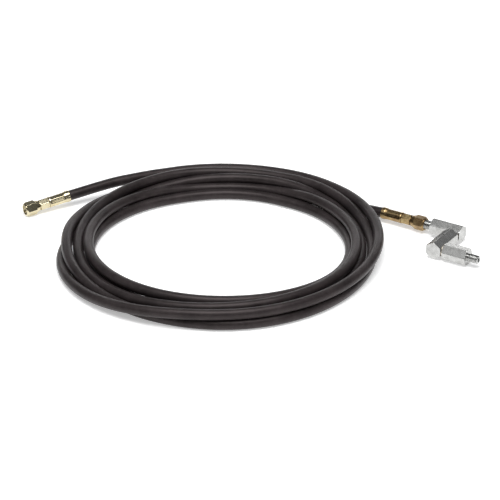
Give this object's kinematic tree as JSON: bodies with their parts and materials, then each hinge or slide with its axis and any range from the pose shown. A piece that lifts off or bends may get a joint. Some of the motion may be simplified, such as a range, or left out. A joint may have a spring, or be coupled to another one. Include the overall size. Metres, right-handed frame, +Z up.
{
  "type": "grease hose with z-swivel",
  "caption": "Coiled high-pressure rubber hose with crimped swivel couplings and a jointed hexagon-bar Z-swivel at the outlet.",
  "frame": {"origin": "under the middle of the fittings' bounding box, on the surface the hose lies on", "axes": "+Z up, +X from the inlet coupling towards the Z-swivel's outlet, +Y to the back of the coil"},
  "size_m": [0.5532, 0.4, 0.0254],
  "materials": {
    "hose_rubber": "matte with a fine cloth-wrap impression",
    "inner_rubber": "smooth",
    "braid_wire": "brass-coated steel wire",
    "inlet_plating": "pale yellow zinc plating, polished",
    "outlet_plating": "deep yellow zinc plating, polished",
    "zinc_plate": "clear zinc plating, satin",
    "spring_steel": "bright",
    "bronze": "oiled",
    "seal_rubber": "smooth nitrile",
    "ptfe": "smooth"
  },
  "bodies": {
    "hose_assembly": {"hose_coil": "hose_rubber", "hose_inlet_tail": "hose_rubber", "hose_outlet_tail": "hose_rubber", "inlet_ferrule": "inlet_plating", "inlet_stem": "inlet_plating", "inlet_nut_wire": "spring_steel", "inlet_hose_inner_tube": "inner_rubber", "inlet_hose_wire_braid": "braid_wire", "inlet_hose_cover": "hose_rubber", "outlet_ferrule": "outlet_plating", "outlet_stem": "outlet_plating", "outlet_nut_wire": "spring_steel", "outlet_hose_inner_tube": "inner_rubber", "outlet_hose_wire_braid": "braid_wire", "outlet_hose_cover": "hose_rubber", "outlet_swivel_nut": "outlet_plating", "inlet_arm": "zinc_plate"},
    "inlet_nut": {"inlet_swivel_nut": "inlet_plating"},
    "middle_bar": {"middle_bar": "zinc_plate", "first_spindle": "zinc_plate", "first_front_o_ring": "seal_rubber", "first_rear_o_ring": "seal_rubber", "first_front_backup_ring": "ptfe", "first_rear_backup_ring": "ptfe", "first_thrust_washer": "bronze", "first_rear_washer": "spring_steel", "first_retaining_ring": "spring_steel"},
    "outlet_arm": {"outlet_arm": "zinc_plate", "second_spindle": "zinc_plate", "second_front_o_ring": "seal_rubber", "second_rear_o_ring": "seal_rubber", "second_front_backup_ring": "ptfe", "second_rear_backup_ring": "ptfe", "second_thrust_washer": "bronze", "second_rear_washer": "spring_steel", "second_retaining_ring": "spring_steel"}
  },
  "joints": [
    {"name": "inlet_nut_turn", "type": "hinge", "parent": "hose_assembly", "child": "inlet_nut", "pos_m": [-0.26438, 0.0584, 0.00891], "axis": [-0.8748, -0.475, -0.0958], "continuous": true},
    {"name": "first_swivel", "type": "hinge", "parent": "hose_assembly", "child": "middle_bar", "pos_m": [0.25226, -0.01246, 0.011], "axis": [-0.5299, -0.848, 0], "continuous": true},
    {"name": "second_swivel", "type": "hinge", "parent": "middle_bar", "child": "outlet_arm", "pos_m": [0.22603, -0.05443, 0.011], "axis": [0.848, -0.5299, 0], "continuous": true}
  ]
}
